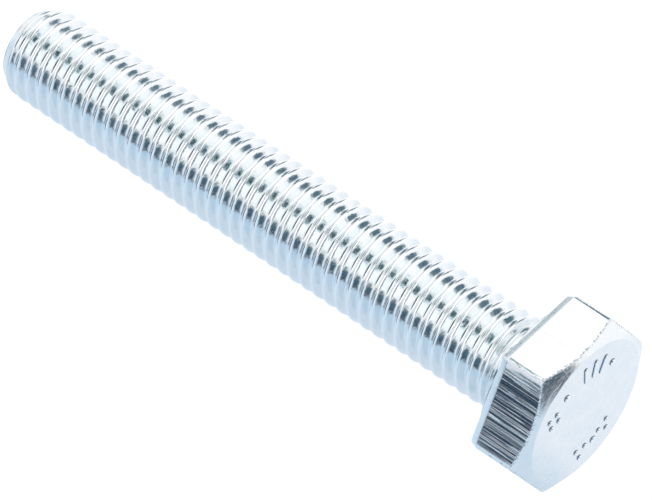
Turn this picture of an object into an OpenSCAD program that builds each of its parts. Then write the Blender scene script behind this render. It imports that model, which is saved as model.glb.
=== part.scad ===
// Hexagon head bolt, M10 x 65, threaded over its whole length.
// The bolt lies along X. Its bearing face is in the plane x = 0, the head is on the +X side,
// the shank runs to -X, and one flat of the head faces straight down.

/* [Thread] */
// Diameter over the thread crests, an M10 thread as it is rolled
thread_d = 9.9; // [9.75:0.01:9.97]
// Distance from one turn to the next, the coarse pitch
pitch = 1.5; // [1.25:0.25:1.5]
// Angle about the axis at which the ridge starts
thread_start_angle = 346; // [0:2:358]
// Flat sides in one turn of the ridge
steps_per_turn = 24; // [16:4:28]

/* [Shank] */
// Length from the bearing face to the tip
shank_length = 65; // [30:5:75]
// Diameter of the plain neck, about the thread's pitch diameter
neck_d = 8.9; // [8.7:0.05:9.1]
// Length of the neck under the head, fillet included
neck_length = 1; // [0.9:0.1:2.4]
// Radius of the fillet under the head
fillet_r = 0.6; // [0.4:0.1:0.8]
// Length of the bevel at the tip
point_length = 1.6; // [1.2:0.1:2]
// Diameter of the flat end of the tip
point_d = 7.8; // [7.4:0.1:7.9]

/* [Head] */
// Width across the flats, a 17 mm head as it is forged
across_flats = 16.9; // [16.7:0.05:17]
// Height of the head from the bearing face to the outer face
head_height = 6.35; // [6.2:0.05:6.6]
// Diameter of the flat disc on the outer face
crown_d = 15.6; // [15:0.1:16.5]
// Slope of the slightly domed chamfer around the outer face
chamfer_angle = 30; // [24:1:35]
// Length of the shallow bevel on each flat's bearing side
rear_bevel_length = 0.75; // [0.4:0.05:1]
// Depth of that bevel at the rear edge
rear_bevel_depth = 0.25; // [0.1:0.05:0.4]
// Diameter of the round bearing collar
washer_d = 15.6; // [14:0.1:16]
// Thickness of the bearing collar
washer_t = 0.4; // [0.2:0.1:0.6]

/* [Marks] */
// Height of the raised marks
mark_height = 0.2; // [0.1:0.05:0.3]
// Distance of the marks from the axis
mark_ring_r = 5.4; // [5:0.1:6]
// Length of each raised bar
bar_length = 2.2; // [1:0.1:3]
// Width of each raised bar
bar_width = 0.45; // [0.25:0.05:0.5]
// Diameter of the single pips
pip_d = 0.8; // [0.4:0.1:1]
// Diameter of the pips in a cluster
cluster_pip_d = 0.6; // [0.3:0.1:0.6]

// Distance of a cluster's pips from the cluster's middle
cluster_spread = 0.75; // [0.6:0.05:0.8]

/* [Hidden] */
$fn = 96;
zinc = [0.80, 0.87, 0.93];
pale_zinc = [0.88, 0.92, 0.96];

// Metric thread form: 60 degrees between the flanks, a flat crest and a narrow root
flank_tan = tan(30);
crest_r = thread_d / 2;
core_r = crest_r - 0.6134 * pitch;
crest_w = pitch / 8;
base_w = crest_w + 2 * (crest_r - core_r) * flank_tan;

// The ridge is built of chords, so its foot is set out far enough to clear the round core
foot_r = core_r / cos(180 / steps_per_turn);
// Least height of the ridge, at its two faded ends
min_rise = 0.02;
// Part of a turn over which the ridge rises from nothing beside the neck
fade_turns = 0.5;

neck_r = neck_d / 2;
// The neck narrows to the core at 45 degrees
core_start = neck_length + neck_r - core_r;
point_r = point_d / 2;
// Radius gained by the bevel for each millimetre back from the tip
point_slope = (crest_r - point_r) / point_length;
// The tip's own solid reaches a little way up the core
point_start = shank_length - point_length / 2;
ridge_start = core_start + base_w / 2 + 0.05;
ridge_end = shank_length - (foot_r - point_r) / point_slope - base_w / 2;
ridge_steps = floor((ridge_end - ridge_start) / pitch * steps_per_turn);

// Things about the head
corner_r = across_flats / 2 / cos(30);
crown_r = crown_d / 2;
// The chamfer is part of a large sphere, which has chamfer_angle midway between crown and corners
dome_r = (crown_r + corner_r) / 2 / sin(chamfer_angle);
dome_centre = head_height - sqrt(pow(dome_r, 2) - pow(crown_r, 2));
seat_hole_r = neck_r + fillet_r;
rear_bevel_angle = atan(rear_bevel_depth / rear_bevel_length);
// Side of the cubes that cut the bevels, larger than the head
cut = 20;

// Turns a shape drawn about Z, head upwards, so that its axis lies along X
module along_x() {
    rotate([0, 90, 0]) children();
}

// Solid of revolution from a profile of [radius, height] points
module turned(profile) {
    rotate_extrude($fn = 96) polygon(profile);
}

// Crest radius of the ridge at a depth below the bearing face: it fades in over fade_turns
// beside the neck, is full along the shank, and follows the bevel at the tip
function faded_r(depth) = foot_r + (crest_r - foot_r)
    * min(1, (depth - ridge_start) / (fade_turns * pitch));
function bevelled_r(depth) = (point_r
    + point_slope * (shank_length - depth - crest_w / 2 - crest_r * flank_tan))
    / (1 - point_slope * flank_tan);
function ridge_r(depth) = max(foot_r + min_rise, min(crest_r, faded_r(depth), bevelled_r(depth)));

// One cross-section of the ridge: foot, crest, crest, foot, from the head side to the tip side
function ridge_section(i) =
    let (depth = ridge_start + pitch * i / steps_per_turn,
         turn = thread_start_angle - 360 * i / steps_per_turn,
         r = ridge_r(depth),
         half_crest = crest_w / 2 + (crest_r - r) * flank_tan,
         half_foot = min(base_w / 2, half_crest + (r - foot_r) * flank_tan))
    [for (p = [[foot_r, half_foot], [r, half_crest], [r, -half_crest], [foot_r, -half_foot]])
        [p[0] * cos(turn), p[0] * sin(turn), p[1] - depth]];

// Head: a hexagonal bar rounded off to a disc on its outer face, with a shallow bevel along each
// rear edge
module hex_head() {
    color(zinc) along_x() difference() {
        intersection() {
            translate([0, 0, washer_t])
                rotate([0, 0, 30]) cylinder(h = head_height - washer_t, r = corner_r, $fn = 6);
            translate([0, 0, dome_centre]) sphere(r = dome_r, $fn = 160);
        }
        for (side = [0:5]) {
            rotate([0, 0, 60 * side])
                translate([across_flats / 2 - rear_bevel_depth, 0, washer_t])
                rotate([0, rear_bevel_angle, 0])
                translate([0, -cut / 2, -cut / 2]) cube([cut, cut, cut]);
        }
    }
}

// A round pip standing on the outer face, at an angle and a distance from the axis
module pip(angle, d, r = mark_ring_r) {
    rotate([0, 0, angle]) translate([r, 0, head_height])
        cylinder(h = mark_height, d = d, $fn = 24);
}

// A short radial bar standing on the outer face
module bar(angle) {
    rotate([0, 0, angle]) translate([mark_ring_r, 0, head_height + mark_height / 2])
        cube([bar_length, bar_width, mark_height], center = true);
}

// A ring of small pips around a point on the marks' circle
module cluster(angle, count) {
    rotate([0, 0, angle]) translate([mark_ring_r, 0, 0])
        for (i = [0:count - 1]) pip(angle = 360 * i / count, d = cluster_pip_d, r = cluster_spread);
}

// Raised marks: three radial bars, a square and two triangles of small pips, and single pips
module head_marks() {
    color(pale_zinc) along_x() {
        for (i = [0:2]) bar(angle = 152 + 14 * i);
        for (angle = [12, 134, 210]) pip(angle = angle, d = pip_d);
        cluster(angle = 237, count = 4);
        for (angle = [-8, 30]) cluster(angle = angle, count = 3);
    }
}

// Bearing collar: a thin ring that lifts the head's corners clear of the surface it seats on
module washer_face() {
    color(zinc) along_x() turned([[seat_hole_r, 0], [washer_d / 2, 0], [washer_d / 2, washer_t],
                                  [seat_hole_r, washer_t]]);
}

// Fillet and plain neck that run from inside the collar down to the start of the thread
module underhead_neck() {
    fillet = [for (a = [0:15:90])
        [seat_hole_r - fillet_r * sin(a), fillet_r * (cos(a) - 1)]];
    color(zinc) along_x() turned(concat([[0, washer_t], [seat_hole_r, washer_t]], fillet,
        [[neck_r, -neck_length], [core_r, -core_start], [0, -core_start]]));
}

// Solid core of the shank, as thick as the bottom of the thread
module thread_core() {
    color(zinc) along_x() translate([0, 0, -point_start])
        cylinder(h = point_start - core_start, r = core_r);
}

// Thread: one right-handed ridge wound around the core
module screw_thread() {
    sections = [for (i = [0:ridge_steps]) each ridge_section(i)];
    last = 4 * ridge_steps;
    walls = [for (i = [0:ridge_steps - 1], k = [0:3])
        [4 * i + k, 4 * i + (k + 1) % 4, 4 * i + 4 + (k + 1) % 4, 4 * i + 4 + k]];
    ends = [[3, 2, 1, 0], [last, last + 1, last + 2, last + 3]];
    color(pale_zinc) along_x() polyhedron(points = sections, faces = concat(walls, ends));
}

// Tip: the last of the core, bevelled down to the flat end face
module chamfered_point() {
    bevel_start = shank_length - (core_r - point_r) / point_slope;
    color(zinc) along_x() turned([[0, -point_start], [core_r, -point_start],
        [core_r, -bevel_start], [point_r, -shank_length], [0, -shank_length]]);
}

hex_head();
head_marks();
washer_face();
underhead_neck();
thread_core();
screw_thread();
chamfered_point();
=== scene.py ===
import math

import bmesh
import bpy
import numpy as np
from mathutils import Matrix, Vector, noise


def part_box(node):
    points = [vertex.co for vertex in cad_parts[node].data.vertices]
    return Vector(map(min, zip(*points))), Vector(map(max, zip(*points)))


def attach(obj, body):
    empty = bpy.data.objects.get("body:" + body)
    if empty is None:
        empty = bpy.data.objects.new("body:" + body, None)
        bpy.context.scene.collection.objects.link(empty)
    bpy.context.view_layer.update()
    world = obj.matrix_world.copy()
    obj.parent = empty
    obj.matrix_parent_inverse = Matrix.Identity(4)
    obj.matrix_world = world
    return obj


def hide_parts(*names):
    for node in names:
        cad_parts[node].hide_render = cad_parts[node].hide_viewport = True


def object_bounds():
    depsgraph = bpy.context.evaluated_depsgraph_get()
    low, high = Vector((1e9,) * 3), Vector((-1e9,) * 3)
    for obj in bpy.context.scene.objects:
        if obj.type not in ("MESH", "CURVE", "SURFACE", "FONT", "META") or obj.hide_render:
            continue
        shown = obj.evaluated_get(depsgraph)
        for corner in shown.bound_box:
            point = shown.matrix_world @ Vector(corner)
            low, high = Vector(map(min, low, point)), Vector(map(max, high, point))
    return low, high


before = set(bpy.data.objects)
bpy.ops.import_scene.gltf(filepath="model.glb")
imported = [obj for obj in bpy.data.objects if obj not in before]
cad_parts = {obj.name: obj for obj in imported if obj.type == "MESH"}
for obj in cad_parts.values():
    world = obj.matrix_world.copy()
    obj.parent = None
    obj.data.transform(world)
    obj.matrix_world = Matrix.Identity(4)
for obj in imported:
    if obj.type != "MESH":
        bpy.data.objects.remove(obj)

cad_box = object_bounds()

# A zinc-plated hex bolt that lies along X, with its head at +X and the bearing face at x = 0.
# Lengths are in metres, and angles about the axis run from +Y towards +Z.

# --- Sizes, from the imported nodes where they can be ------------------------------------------

MM = 0.001
head_lo, head_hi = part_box("hex_head")
collar_lo, collar_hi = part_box("washer_face")
_, ridge_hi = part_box("screw_thread")
_, core_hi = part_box("thread_core")
_, neck_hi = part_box("underhead_neck")
tip_lo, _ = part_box("chamfered_point")
_, marks_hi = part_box("head_marks")

# Head: the disc on its outer face stands one crown_step proud of the chamfer
half_flats = head_hi.z
half_side = half_flats * math.tan(math.pi / 6)
face_x = head_hi.x
rear_x = head_lo.x
crown_r = 7.85 * MM
crown_step = 0.03 * MM
chamfer_slope = math.tan(math.radians(30))
corner_round = 0.75 * MM
bevel_length = 0.75 * MM
bevel_depth = 0.25 * MM
edge_ease = 0.1 * MM

# Marks on the outer face, as angles in degrees; each cluster is an angle and a number of pips
mark_height = marks_hi.x - face_x
mark_ring_r = 5.4 * MM
bar_length = 2.2 * MM
bar_width = 0.45 * MM
pip_d = 0.8 * MM
cluster_pip_d = 0.6 * MM
cluster_spread = 0.75 * MM
bar_angles = (62, 76, 90)
pip_angles = (-78, 44, 120)
clusters = ((147, 4), (-98, 3), (-60, 3))

# Collar: its hole is a little smaller than the neck it stands around, so that no gap shows
collar_ease = 0.12 * MM
collar_overlap = 0.02 * MM

# Thread: crest_half is half a crest's width before its edges are rounded by crest_round, and
# crest_wander is how uneven the rolling left it
pitch = 1.5 * MM
flank_tan = math.tan(math.radians(30))
crest_r = ridge_hi.y
core_r = core_hi.y
root_r = 4.12 * MM
crest_half = 0.12 * MM
crest_round = 0.16 * MM
crest_wander = 0.006 * MM

# Shank: the thread fades in over fade_length beside the neck, and a bevel cuts it at the tip
neck_r = 4.45 * MM
neck_end = 1.0 * MM
fade_start = 1.5 * MM
fade_length = 1.2 * MM
fillet_r = 0.6 * MM
shank_length = -tip_lo.x
point_r = 3.9 * MM
point_length = 1.6 * MM
point_softness = 0.03 * MM
tip_ease = 0.15 * MM


# --- Mesh helpers ----------------------------------------------------------------------------

def make_piece(name, points, faces):
    """A smooth-shaded mesh object from points and faces, with every face turned outwards."""
    mesh = bpy.data.meshes.new(name)
    mesh.from_pydata(points, [], faces)
    form = bmesh.new()
    form.from_mesh(mesh)
    bmesh.ops.recalc_face_normals(form, faces=form.faces)
    form.to_mesh(mesh)
    form.free()
    mesh.polygons.foreach_set("use_smooth", [True] * len(mesh.polygons))
    piece = bpy.data.objects.new(name, mesh)
    bpy.context.collection.objects.link(piece)
    return piece


def keep_faces_flat(piece):
    """Lets large flat faces lead the shading, so that only the eased edges look round."""
    normals = piece.modifiers.new("flat faces stay flat", "WEIGHTED_NORMAL")
    normals.keep_sharp = False


def unit_at(angle):
    """A unit (y, z) vector at an angle in radians."""
    return Vector((math.cos(angle), math.sin(angle)))


def around(radius, angle, x):
    """A point at a radius and an angle about the bolt's axis."""
    return (x, radius * math.cos(angle), radius * math.sin(angle))


def ring_faces(first, second, count):
    """Quads between two closed rings of points, given the number of each ring's first point."""
    return [
        (first + i, first + (i + 1) % count, second + (i + 1) % count, second + i)
        for i in range(count)
    ]


def arc(centre_x, centre_r, radius, start, end, steps):
    """Profile points (x, r) along an arc. In degrees, 0 points along +X and 90 off the axis."""
    angles = [math.radians(start + (end - start) * i / steps) for i in range(steps + 1)]
    return [(centre_x + radius * math.cos(a), centre_r + radius * math.sin(a)) for a in angles]


def turned_ring(name, profile, steps=128):
    """A ring turned about X from a closed loop of (x, r) points."""
    points, faces = [], []
    for x, r in profile:
        points += [around(r, 2 * math.pi * i / steps, x) for i in range(steps)]
    for k in range(len(profile)):
        faces += ring_faces(k * steps, (k + 1) % len(profile) * steps, steps)
    return make_piece(name, points, faces)


# --- Head ------------------------------------------------------------------------------------

# Regions of the head, in the order of its materials. Every second flat is scuffed.
FLAT, CHAMFER, CROWN, REAR, SCUFFED = range(5)


def hexagon_outline(corner_steps=8, flat_steps=18):
    """Points (y, z) around the hexagon, with rounded corners and one flat facing down."""
    corner_at = (half_flats - corner_round) / math.cos(math.radians(30))
    corners = [math.radians(60 * side) for side in range(7)]
    centres = [Vector(around(corner_at, angle, 0)[1:]) for angle in corners]
    outline = []
    for side in range(6):
        turns = [
            corners[side] + math.radians(-30 + 60 * i / corner_steps)
            for i in range(corner_steps + 1)
        ]
        bend = [centres[side] + corner_round * unit_at(a) for a in turns]
        next_bend = centres[side + 1] + corner_round * unit_at(turns[-1])
        outline += bend
        outline += [bend[-1].lerp(next_bend, i / flat_steps) for i in range(1, flat_steps)]
    return outline


def cone_x(radius):
    """Where the chamfer's cone is at a radius."""
    return face_x - crown_step - (radius - crown_r) * chamfer_slope


def scaled(p, factor, x):
    """A point of the outline, moved in towards the axis by a factor and placed at x."""
    return (x, p.x * factor, p.y * factor)


def head_rings(outline):
    """Rings of points from the rear face to the outer face, as (region, points).

    The region is that of the faces between a ring and the one before it.
    """
    bevel_end = rear_x + bevel_length
    rings = []
    for factor in (0.3, 0.7, 1 - bevel_depth / half_flats):
        rings.append((REAR, [scaled(p, factor, rear_x) for p in outline]))
    rings.append((REAR, [scaled(p, 1, bevel_end) for p in outline]))
    for share in (0.33, 0.67, 1):
        rings.append((FLAT, [
            scaled(p, 1, bevel_end * (1 - share) + cone_x(p.length) * share) for p in outline
        ]))
    for share in (0.5, 1):
        radii = [p.length * (1 - share) + crown_r * share for p in outline]
        rings.append((CHAMFER, [
            scaled(p, r / p.length, cone_x(r)) for p, r in zip(outline, radii)
        ]))
    for share in (0.99, 0.8, 0.5, 0.2):
        rings.append((CROWN, [scaled(p, crown_r * share / p.length, face_x) for p in outline]))
    return rings


def make_head():
    """Hexagonal head: rear face, shallow rear bevel, flats, coned chamfer and flat outer face."""
    outline = hexagon_outline()
    count = len(outline)
    per_side = count // 6
    points, faces, regions = [], [], []
    for region, ring in head_rings(outline):
        if points:
            faces += ring_faces(len(points) - count, len(points), count)
            for i in range(count):
                scuffed = region == FLAT and i // per_side % 2 == 0
                regions.append(SCUFFED if scuffed else region)
        points += ring
    # the middles of the rear face and of the outer face
    faces.append(tuple(reversed(range(count))))
    regions.append(REAR)
    faces.append(tuple(range(len(points) - count, len(points))))
    regions.append(CROWN)

    head = make_piece("hex_head_body", points, faces)
    head.data.polygons.foreach_set("material_index", regions)
    bevel = head.modifiers.new("eased edges", "BEVEL")
    bevel.width = edge_ease
    bevel.segments = 3
    bevel.limit_method = "ANGLE"
    bevel.angle_limit = math.radians(14)
    bevel.use_clamp_overlap = True
    keep_faces_flat(head)
    return head


# --- Marks and collar ------------------------------------------------------------------------

def dome(outline, steps=4, least=0.12, flat_top=0.6):
    """Points and faces of a low dome that stands on a closed (y, z) outline.

    Its flat top starts part of a step before the dome would close, and is never smaller than
    the least share of the outline.
    """
    count = len(outline)
    centre = sum(outline, Vector((0, 0))) / count
    points, faces = [], []
    for k in range(steps + 1):
        tilt = math.radians(90 * k / (steps + flat_top))
        x = face_x + mark_height * math.sin(tilt)
        share = least + (1 - least) * math.cos(tilt)
        points += [(x, *(centre + (p - centre) * share)) for p in outline]
        if k:
            faces += ring_faces((k - 1) * count, k * count, count)
    faces.append(tuple(range(steps * count, (steps + 1) * count)))
    faces.append(tuple(reversed(range(count))))
    return points, faces


def stadium(centre, angle, length, width, steps=10):
    """Outline of a bar with round ends, or of a circle when length and width are equal."""
    outline = []
    # a circle's two ends share their points
    end_points = steps + 1 if length > width else steps
    for end, sign in ((0, 1), (1, -1)):
        middle = centre + unit_at(angle) * (sign * (length - width) / 2)
        for i in range(end_points):
            turn = angle - math.pi / 2 + math.pi * end + math.pi * i / steps
            outline.append(middle + unit_at(turn) * (width / 2))
    return outline


def make_marks():
    """Raised marks on the outer face, each where its CAD solid stands."""
    def at(angle, radius):
        return unit_at(math.radians(angle)) * radius

    outlines = []
    for angle in bar_angles:
        place = at(angle, mark_ring_r)
        outlines.append(stadium(place, math.radians(angle), bar_length, bar_width))
    for angle in pip_angles:
        outlines.append(stadium(at(angle, mark_ring_r), 0, pip_d, pip_d))
    for angle, count in clusters:
        for i in range(count):
            place = at(angle, mark_ring_r) + at(angle + 360 * i / count, cluster_spread)
            outlines.append(stadium(place, 0, cluster_pip_d, cluster_pip_d))
    points, faces = [], []
    for outline in outlines:
        more_points, more_faces = dome(outline)
        faces += [tuple(len(points) + i for i in face) for face in more_faces]
        points += more_points
    return make_piece("raised_marks", points, faces)


def make_collar():
    """The round bearing collar under the head, with an eased outer edge on its bearing side."""
    outer = collar_hi.y
    inner = neck_hi.y - collar_overlap
    profile = [(collar_hi.x, inner), (collar_lo.x, inner)]
    profile += arc(collar_lo.x + collar_ease, outer - collar_ease, collar_ease, 180, 90, 4)
    profile += [(collar_hi.x, outer)]
    collar = turned_ring("bearing_collar", profile)
    keep_faces_flat(collar)
    return collar


# --- Threaded shank --------------------------------------------------------------------------

def crest_offset():
    """How far along X, within one pitch, the CAD ridge's crest is at angle 0."""
    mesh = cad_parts["screw_thread"].data
    at = np.empty(len(mesh.vertices) * 3)
    mesh.vertices.foreach_get("co", at)
    x, y, z = at.reshape(-1, 3).T
    on_crest = np.hypot(y, z) > crest_r - 0.01 * MM
    shift = x - pitch * np.arctan2(z, y) / (2 * math.pi)
    phase = np.exp(2j * math.pi * shift / pitch)[on_crest].mean()
    return float(np.angle(phase) / (2 * math.pi) * pitch)


def thread_profile():
    """One pitch of the thread as (offset towards the tip, radius), from crest to crest."""
    ease = crest_round * flank_tan
    root_half = pitch / 2 - crest_half - (crest_r - root_r) * flank_tan
    root_round = root_half / flank_tan
    crest = [(0, crest_r)]
    for turn in (0, 12, 24, 36, 48, 60):
        a = math.radians(turn)
        offset = crest_half - ease + crest_round * math.sin(a)
        crest.append((offset, crest_r - crest_round * (1 - math.cos(a))))
    root = []
    for turn in (60, 40, 20, 0):
        a = math.radians(turn)
        offset = pitch / 2 - root_round * math.sin(a)
        root.append((offset, root_r + root_round * (1 - math.cos(a))))
    flank = [
        tuple(crest[-1][i] * (1 - share) + root[0][i] * share for i in (0, 1))
        for share in (0.33, 0.67)
    ]
    half = crest + flank + root
    return half + [(pitch - offset, r) for offset, r in reversed(half[1:-1])]


def smooth_step(value):
    """0 below 0, 1 above 1 and a smooth rise between them."""
    value = min(1, max(0, value))
    return value * value * (3 - 2 * value)


def shank_radius(radius, depth):
    """The thread's radius, faded into the neck near the head and cut by the bevel at the tip."""
    fade = smooth_step((depth - fade_start) / fade_length)
    radius = neck_r + (radius - neck_r) * fade
    slope = (crest_r - point_r) / point_length
    bevel = point_r + (shank_length - depth) * slope
    return (radius + bevel - math.sqrt((radius - bevel) ** 2 + point_softness**2)) / 2


def shank_column(points, profile, angle, first_crest, turns, top, bottom):
    """Adds the thread's points at one angle, from head to tip, and returns their numbers.

    The numbers before the top or after the bottom all stand for one point at that end.
    """
    column, above, below = [], None, None
    for k in range(turns):
        for offset, radius in profile:
            x = first_crest - k * pitch - offset
            if x >= top:
                if above is None:
                    above = len(points)
                    points.append(around(shank_radius(radius, -top), angle, top))
                column.append(above)
            elif x <= bottom:
                if below is None:
                    below = len(points)
                    points.append(around(shank_radius(core_r, -bottom), angle, bottom))
                column.append(below)
            else:
                # rolled crests are never quite even
                place = Vector(around(1.0, angle, 0.4 * x / MM))
                uneven = radius + noise.noise(place) * crest_wander
                column.append(len(points))
                points.append(around(shank_radius(uneven, -x), angle, x))
    return column


def column_faces(here, there, shift):
    """Faces between two columns; shift is one turn's points where the helix passes angle 0."""
    faces = []
    for q in range(shift, len(here) - 1):
        ring = [here[q], here[q + 1], there[q + 1 - shift], there[q - shift]]
        # an end point can stand for two corners, which leaves a triangle or nothing
        corners = [p for i, p in enumerate(ring) if p != ring[i - 1]]
        if len(corners) > 2:
            faces.append(tuple(corners))
    return faces


def carry_on(points, faces, ring, outline):
    """Carries a ring of points on through (x, r) places, and closes it at the last."""
    columns = len(ring)
    for x, radius in outline:
        new = list(range(len(points), len(points) + columns))
        points += [around(radius, 2 * math.pi * a / columns, x) for a in range(columns)]
        for a in range(columns):
            b = (a + 1) % columns
            faces.append((ring[a], ring[b], new[b], new[a]))
        ring = new
    faces.append(tuple(ring))


def make_shank(columns=96):
    """Neck, thread and bevelled tip as one closed surface, with loops along the thread's helix."""
    profile = thread_profile()
    top, bottom = -neck_end, tip_ease - shank_length
    # the first crest is over two turns above the top, and the last turn ends below the bottom
    turns = int((top - bottom) / pitch) + 5
    start = crest_offset() + math.ceil(top / pitch) * pitch + 2 * pitch
    points, index, faces = [], [], []
    for a in range(columns):
        angle, crest = 2 * math.pi * a / columns, start + pitch * a / columns
        index.append(shank_column(points, profile, angle, crest, turns, top, bottom))
    for a in range(columns - 1):
        faces += column_faces(index[a], index[a + 1], 0)
    faces += column_faces(index[-1], index[0], len(profile))

    seat_r = neck_r + fillet_r
    neck_line = arc(-fillet_r, seat_r, fillet_r, 270, 360, 6)
    neck_line += [(collar_hi.x, seat_r), (collar_hi.x, seat_r * 0.5)]
    carry_on(points, faces, [column[0] for column in index], neck_line)

    # the tip's end face is slightly hollow
    end_r = shank_radius(core_r, -bottom)
    tip_line = arc(bottom, end_r - tip_ease, tip_ease, 65, 180, 5)
    for depth, share in ((0, 0.8), (0.06, 0.6), (0.1, 0.25)):
        tip_line.append((depth * MM - shank_length, end_r * share))
    carry_on(points, faces, [column[-1] for column in index], tip_line)
    return make_piece("threaded_shank", points, faces)


# --- Nodes -----------------------------------------------------------------------------------

class Nodes:
    """A short way to lay out the nodes of a material or of the world."""

    def __init__(self, owner, coordinates="Object"):
        owner.use_nodes = True
        self.owner = owner
        self.tree = owner.node_tree
        self.place = self.add("ShaderNodeTexCoord").outputs[coordinates]
        self.colour = self.rough = self.normal = None

    def add(self, kind, **settings):
        """A new node, with its properties set."""
        node = self.tree.nodes.new(kind)
        for key, value in settings.items():
            setattr(node, key, value)
        return node

    def feed(self, socket, value):
        """Links another node's output to a socket, or sets the socket to a plain value."""
        if isinstance(value, bpy.types.NodeSocket):
            self.tree.links.new(value, socket)
        elif socket.type == "RGBA":
            socket.default_value = (*value, 1)
        else:
            socket.default_value = value

    def math(self, operation, *values):
        """One step of arithmetic on numbers."""
        node = self.add("ShaderNodeMath", operation=operation)
        for socket, value in zip(node.inputs, values):
            self.feed(socket, value)
        return node.outputs["Value"]

    def vector_math(self, operation, *values):
        """One step of arithmetic on vectors, whose result is a vector or a number."""
        node = self.add("ShaderNodeVectorMath", operation=operation)
        for socket, value in zip(node.inputs, values):
            self.feed(socket, value)
        return node.outputs["Vector" if operation == "NORMALIZE" else "Value"]

    def split(self):
        """The coordinates X, Y and Z."""
        node = self.add("ShaderNodeSeparateXYZ")
        self.feed(node.inputs["Vector"], self.place)
        return node.outputs["X"], node.outputs["Y"], node.outputs["Z"]

    def radius(self):
        """The distance from the bolt's axis."""
        _, y, z = self.split()
        return self.math("SQRT", self.math(
            "ADD", self.math("MULTIPLY", y, y), self.math("MULTIPLY", z, z)))

    def noise(self, scale, detail=3.0, rough=0.5):
        """Noise with a number of features per metre, the same on all axes or one for each."""
        if isinstance(scale, int):
            scale = (scale, scale, scale)
        stretch = self.add("ShaderNodeMapping")
        self.feed(stretch.inputs["Vector"], self.place)
        self.feed(stretch.inputs["Scale"], scale)
        node = self.add("ShaderNodeTexNoise")
        self.feed(node.inputs["Vector"], stretch.outputs["Vector"])
        self.feed(node.inputs["Scale"], 1.0)
        self.feed(node.inputs["Detail"], detail)
        self.feed(node.inputs["Roughness"], rough)
        return node.outputs["Fac"]

    def remap(self, value, start, end, low, high, **settings):
        """Low where a value is at its start, high at its end, and neither less nor more."""
        node = self.add("ShaderNodeMapRange", **settings)
        self.feed(node.inputs["Value"], value)
        self.feed(node.inputs["From Min"], start)
        self.feed(node.inputs["From Max"], end)
        self.feed(node.inputs["To Min"], low)
        self.feed(node.inputs["To Max"], high)
        return node.outputs["Result"]

    def rise(self, value, start, end, **settings):
        """0 up to the start and 1 from the end."""
        return self.remap(value, start, end, 0, 1, **settings)

    def fall(self, value, start, end):
        """1 up to the start and 0 from the end."""
        return self.remap(value, start, end, 1, 0)

    def ramp(self, value, stops):
        """A colour from a value, by (position, colour) stops."""
        node = self.add("ShaderNodeValToRGB")
        elements = node.color_ramp.elements
        while len(elements) < len(stops):
            elements.new(0.5)
        for element, (position, colour) in zip(elements, stops):
            element.position = position
            element.color = (*colour, 1)
        self.feed(node.inputs["Fac"], value)
        return node.outputs["Color"]

    def mix(self, share, base, top):
        """The base colour where share is 0, and the top colour where it is 1."""
        node = self.add("ShaderNodeMix", data_type="RGBA")
        self.feed(node.inputs["Factor"], share)
        self.feed(node.inputs["A"], base)
        self.feed(node.inputs["B"], top)
        return node.outputs["Result"]

    def seen_as(self, colour, plain):
        """A colour that reflections see, where the camera itself sees a plain one."""
        return self.mix(self.add("ShaderNodeLightPath").outputs["Is Camera Ray"], colour, plain)

    def relief(self, height, distance):
        """Adds fine relief to the surface, on top of any it has."""
        node = self.add("ShaderNodeBump")
        self.feed(node.inputs["Height"], height)
        self.feed(node.inputs["Distance"], distance)
        if self.normal:
            self.feed(node.inputs["Normal"], self.normal)
        self.normal = node.outputs["Normal"]

    def metal(self):
        """The material, as a metal with the colour, roughness and relief laid out so far."""
        shader = self.tree.nodes["Principled BSDF"]
        self.feed(shader.inputs["Metallic"], 1.0)
        self.feed(shader.inputs["Base Color"], self.colour)
        self.feed(shader.inputs["Roughness"], self.rough)
        self.feed(shader.inputs["Normal"], self.normal)
        return self.owner


# --- Materials -------------------------------------------------------------------------------

PALE_BLUE_ZINC = (0.82, 0.87, 0.90)
GREY_ZINC = (0.88, 0.90, 0.91)
BRIGHT_ZINC = (0.95, 0.96, 0.97)
RUBBED_ZINC = (0.98, 0.98, 1.0)
NICKED_ZINC = (0.38, 0.4, 0.48)
# painted shade: the dark blue-grey that darkens the raised marks where they meet the face
PAINTED_SHADE_ZINC = (0.13, 0.19, 0.27)


def zinc(name, roughness, tint=1.0):
    """Nodes for bright zinc: faint blue and grey clouding, and a roughness from low to high."""
    nodes = Nodes(bpy.data.materials.new(name))
    cloud = nodes.noise(900, detail=4)
    pale, grey = [tuple(c * tint for c in colour) for colour in (PALE_BLUE_ZINC, GREY_ZINC)]
    nodes.colour = nodes.ramp(cloud, [(0.35, pale), (0.65, grey)])
    nodes.rough = nodes.remap(nodes.noise(4000), 0.3, 0.7, *roughness)
    return nodes


def place_on_flat(nodes):
    """How far a point is below the plane of its flat, and how far along it from the middle."""
    _, y, z = nodes.split()
    radius = nodes.radius()
    turn = nodes.math("FLOORED_MODULO", nodes.math("ARCTAN2", z, y), math.pi / 3)
    turn = nodes.math("SUBTRACT", turn, math.pi / 6)
    out = nodes.math("MULTIPLY", radius, nodes.math("COSINE", turn))
    along = nodes.math("MULTIPLY", radius, nodes.math("SINE", turn))
    return nodes.math("SUBTRACT", half_flats, out), along


def rub_corner(nodes, roughness):
    """Rubs one corner of each flat dull and pale, more widely towards the rear of the head."""
    solid, gone = 0.2 * MM, 0.6 * MM
    patchiness = 0.6 * MM
    # width gained for each metre behind the outer face
    widening = 0.09
    behind = nodes.math("SUBTRACT", face_x, nodes.split()[0])
    _, along = place_on_flat(nodes)
    from_corner = nodes.math("ADD", along, half_side)
    reach = nodes.math("MULTIPLY_ADD", behind, -widening, from_corner)
    reach = nodes.math("SUBTRACT", reach, patchiness / 2)
    reach = nodes.math("MULTIPLY_ADD", nodes.noise(900, detail=4), patchiness, reach)
    share = nodes.fall(reach, solid, gone)
    nodes.rough = nodes.math("MAXIMUM", nodes.rough, nodes.math("MULTIPLY", share, roughness))
    nodes.colour = nodes.mix(share, nodes.colour, RUBBED_ZINC)


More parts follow.
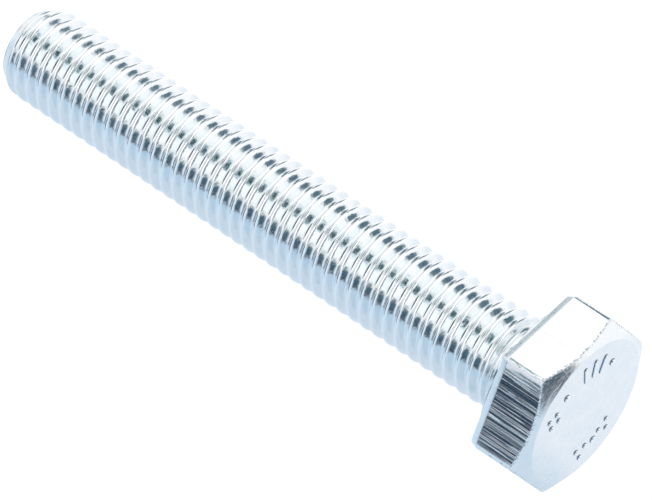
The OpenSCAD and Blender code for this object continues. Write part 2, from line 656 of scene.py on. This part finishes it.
def nick_edges(nodes, darkness):
    """Small dull nicks near the hexagon's corners and the chamfer's edge."""
    reach = 0.35 * MM
    depth = 0.015 * MM
    # the noise is lifted this much at an edge, and turns into a nick between the two levels
    edge_lift = 0.24
    from_level, to_level = 0.71, 0.77
    below_flat, along = place_on_flat(nodes)
    from_corner = nodes.math("SUBTRACT", half_side, nodes.math("ABSOLUTE", along))
    cone = nodes.math("MULTIPLY_ADD", nodes.radius(), -chamfer_slope, cone_x(0))
    below_cone = nodes.math("SUBTRACT", cone, nodes.split()[0])
    from_chamfer = nodes.math("MAXIMUM", below_flat, below_cone)
    near = nodes.fall(nodes.math("MINIMUM", from_chamfer, from_corner), 0, reach)
    spots = nodes.noise(3600, detail=4, rough=0.7)
    level = nodes.math("MULTIPLY_ADD", near, edge_lift, spots)
    nicks = nodes.rise(level, from_level, to_level)
    nodes.colour = nodes.mix(nodes.math("MULTIPLY", nicks, darkness), nodes.colour, NICKED_ZINC)
    nodes.relief(nicks, -depth)


def thread_zinc():
    """The thread: rolled smooth in its grooves, rubbed brighter on its crests."""
    nodes = zinc("rolled zinc", roughness=(0.10, 0.18))
    rubbed = nodes.rise(nodes.radius(), crest_r - 0.2 * MM, crest_r - 0.05 * MM)
    nodes.colour = nodes.mix(rubbed, nodes.colour, BRIGHT_ZINC)
    nodes.relief(nodes.noise(1500, detail=2), 0.025 * MM)
    nodes.relief(nodes.noise((9000, 700, 700)), 0.006 * MM)
    return nodes.metal()


def drawn_zinc(name, scratch_height, rub=0.0):
    """The flats: streaks and scratches that run along the bolt, as the bar was drawn."""
    nodes = zinc(name, roughness=(0.07, 0.15))
    if rub:
        rub_corner(nodes, rub)
    nick_edges(nodes, 0.8)
    nodes.relief(nodes.noise((60, 1700, 1700), rough=0.6), 0.02 * MM)
    for across, level in ((3200, 0.56), (6500, 0.6)):
        lines = nodes.noise((45, across, across), detail=2, rough=0.6)
        nodes.relief(nodes.rise(lines, level, level + 0.03), scratch_height)
    return nodes.metal()


def turned_zinc():
    """The chamfer: fine rings around the axis, as it was turned."""
    nodes = zinc("turned zinc", roughness=(0.12, 0.24))
    nick_edges(nodes, 0.6)
    nodes.relief(nodes.noise((5000, 600, 600), detail=5, rough=0.6), 0.03 * MM)
    rings = nodes.noise((8000, 900, 900))
    nodes.relief(nodes.rise(rings, 0.52, 0.6), 0.006 * MM)
    return nodes.metal()


def crown_zinc():
    """The outer face: faintly dimpled, as the forging left it."""
    nodes = zinc("forged zinc", roughness=(0.18, 0.3))
    nodes.relief(nodes.noise(1100), 0.01 * MM)
    return nodes.metal()


def bevel_zinc():
    """The rear bevel and the rear face: frosted, as the forging left them, and tinted paler as a
    painted highlight.
    """
    # painted highlight: the tint of 1.08 makes this zinc paler than the rest of the head
    nodes = zinc("bevel zinc with painted highlight", roughness=(0.22, 0.34), tint=1.08)
    nodes.relief(nodes.noise(2500), 0.008 * MM)
    return nodes.metal()


def mark_zinc():
    """The raised marks: paler all over, partly rubbed wear and partly painted highlight, with
    painted shade darkening them where they meet the face.
    """
    # the tint of 1.06 makes the marks paler, partly rubbed wear and partly a painted highlight
    nodes = zinc("rubbed zinc with painted shade and highlight", roughness=(0.06, 0.16), tint=1.06)
    # painted shade: the colour darkens towards the foot of each mark, where shade falls
    shade_at_foot = nodes.fall(nodes.split()[0], face_x + 0.03 * MM, face_x + 0.12 * MM)
    nodes.colour = nodes.mix(shade_at_foot, nodes.colour, PAINTED_SHADE_ZINC)
    nodes.relief(nodes.noise(3500), 0.02 * MM)
    return nodes.metal()


# --- Camera, floor and light -----------------------------------------------------------------

# The unlit parts of the studio, as the metal reflects them
DARK = (0.018, 0.038, 0.075)


def make_camera():
    """Looks down on the bolt's head from the +X, -Y side."""
    azimuth, elevation, roll = math.radians(43.6), math.radians(50.28), math.radians(-2.75)
    distance = 477.9 * MM
    target = Vector((-25.40, -0.52, -0.56)) * MM
    back = Vector((
        math.sin(azimuth) * math.cos(elevation),
        -math.cos(azimuth) * math.cos(elevation),
        math.sin(elevation),
    ))
    level_right = Vector((math.cos(azimuth), math.sin(azimuth), 0))
    level_up = back.cross(level_right)
    right = math.cos(roll) * level_right + math.sin(roll) * level_up
    up = back.cross(right)
    data = bpy.data.cameras.new("camera")
    data.sensor_width = 36
    data.lens = 275.6
    data.clip_start, data.clip_end = 0.01, 20
    camera = bpy.data.objects.new("camera", data)
    bpy.context.collection.objects.link(camera)
    turned = Matrix((right, up, back)).transposed().to_4x4()
    camera.matrix_world = Matrix.Translation(target + back * distance) @ turned
    bpy.context.scene.camera = camera


def make_floor():
    """A white table under the bolt, which the metal reflects as bluer and darker further out."""
    half = 1.5
    level = cad_box[0].z
    corners = [(half * i, half * j, level) for i, j in ((-1, -1), (1, -1), (1, 1), (-1, 1))]
    floor = make_piece("floor", corners, [(0, 1, 2, 3)])
    nodes = Nodes(bpy.data.materials.new("light table"))
    x, y, _ = nodes.split()

    # white behind the bolt, pale under it and bluer in front of it
    glow = nodes.ramp(nodes.fall(y, -160 * MM, 40 * MM), [
        (0.06, (1.02, 1.02, 1.04)),
        (0.11, (0.84, 0.89, 0.96)),
        (0.2, (0.84, 0.89, 0.96)),
        (0.225, (0.6, 0.72, 0.84)),
        (0.35, (0.54, 0.71, 0.87)),
        (0.52, (0.52, 0.7, 0.87)),
    ])
    # dark far in front of the shank
    far_front = nodes.fall(y, -120 * MM, -70 * MM)
    beside_shank = nodes.fall(x, -50 * MM, 0)
    glow = nodes.mix(nodes.math("MULTIPLY", far_front, beside_shank), glow, DARK)
    # and in a narrow wedge beyond the head
    away = nodes.rise(nodes.vector_math("LENGTH", nodes.place), 45 * MM, 75 * MM)
    heading = nodes.vector_math("NORMALIZE", nodes.place)
    ahead = nodes.vector_math("DOT_PRODUCT", heading, (1.0, 0.05, 0.0))
    in_wedge = nodes.math("MULTIPLY", away, nodes.rise(ahead, 0.94, 0.97))
    glow = nodes.mix(in_wedge, glow, DARK)

    shader = nodes.tree.nodes["Principled BSDF"]
    shader.inputs["Base Color"].default_value = (0.16, 0.16, 0.16, 1)
    shader.inputs["Roughness"].default_value = 1.0
    shader.inputs["Specular IOR Level"].default_value = 0.0
    shader.inputs["Emission Strength"].default_value = 0.92
    nodes.feed(shader.inputs["Emission Color"], nodes.seen_as(glow, (1, 1, 1)))
    floor.data.materials.append(nodes.owner)


def make_world():
    """Soft boxes overhead with dark gaps between them, above a dark band near the horizon."""
    world = bpy.data.worlds.new("studio")
    nodes = Nodes(world, "Generated")

    def toward(direction, inside, outside):
        """1 within an angle of a direction, 0 beyond a larger one, in degrees."""
        unit = Vector(direction).normalized()
        cosine = nodes.vector_math("DOT_PRODUCT", nodes.place, unit)
        start, end = math.cos(math.radians(outside)), math.cos(math.radians(inside))
        return nodes.rise(cosine, start, end, interpolation_type="SMOOTHSTEP")

    up = (0, 0, 1)
    white = (1.12, 1.12, 1.12)
    pale_blue = (0.8, 0.88, 0.97)
    dusk = (0.08, 0.17, 0.22)
    # a dark room, with a backdrop behind the bolt that is lit at its foot
    backdrop = nodes.mix(toward(up, 74, 82), (1.0, 1.0, 1.02), (0.14, 0.25, 0.32))
    sky = nodes.mix(toward(up, 84, 88), DARK, (0.05, 0.12, 0.17))
    sky = nodes.mix(toward((-0.3, 1, 0.2), 40, 60), sky, backdrop)
    for direction, inside, outside, colour in (
        # cards near the horizon: beyond the head, in front, and beyond the tip
        ((0.74, 0.67, 0.0), 20, 27, white),
        ((0.45, -0.89, 0.0), 30, 48, pale_blue),
        ((-0.93, -0.36, 0.0), 16, 34, pale_blue),
        # the ceiling and its two soft boxes
        ((0.04, 0.0, 1), 61, 73, white),
        ((-0.44, 0.46, 0.77), 10, 20, (1.3, 1.3, 1.3)),
        ((-0.55, -0.5, 0.67), 10, 22, (1.35, 1.35, 1.35)),
        # the gap between the soft boxes
        ((-0.52, -0.11, 0.845), 8, 17, (0.5, 0.75, 0.8)),
        ((-0.52, -0.11, 0.845), 6, 12, (0.01, 0.06, 0.075)),
        # two dim openings at the back
        ((-0.3, 0.85, 0.42), 8, 17, dusk),
        ((-0.17, 0.96, 0.2), 6, 13, dusk),
        # the dark around the camera
        ((0.44, -0.463, 0.769), 17, 27, (0.04, 0.06, 0.08)),
    ):
        sky = nodes.mix(toward(direction, inside, outside), sky, colour)
    background = nodes.tree.nodes["Background"]
    nodes.feed(background.inputs["Color"], nodes.seen_as(sky, (1.05, 1.05, 1.05)))
    bpy.context.scene.world = world
    bpy.context.scene.view_settings.view_transform = "Standard"


# --- Assembly --------------------------------------------------------------------------------

make_camera()
make_floor()
make_world()

head = make_head()
marks = make_marks()
collar = make_collar()
shank = make_shank()

forged = crown_zinc()
flat = drawn_zinc("drawn zinc", 0.003 * MM)
scuffed_flat = drawn_zinc("scratched zinc", 0.01 * MM, rub=0.7)
for material in (flat, turned_zinc(), forged, bevel_zinc(), scuffed_flat):
    head.data.materials.append(material)
marks.data.materials.append(mark_zinc())
collar.data.materials.append(forged)
shank.data.materials.append(thread_zinc())

for piece, nodes, slot in (
    (head, ["hex_head"], "zinc_plate"),
    (marks, ["head_marks"], "zinc_plate"),
    (collar, ["washer_face"], "zinc_plate"),
    (shank, ["underhead_neck", "thread_core", "screw_thread", "chamfered_point"], "zinc_thread"),
):
    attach(piece, "root")
    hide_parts(*nodes)
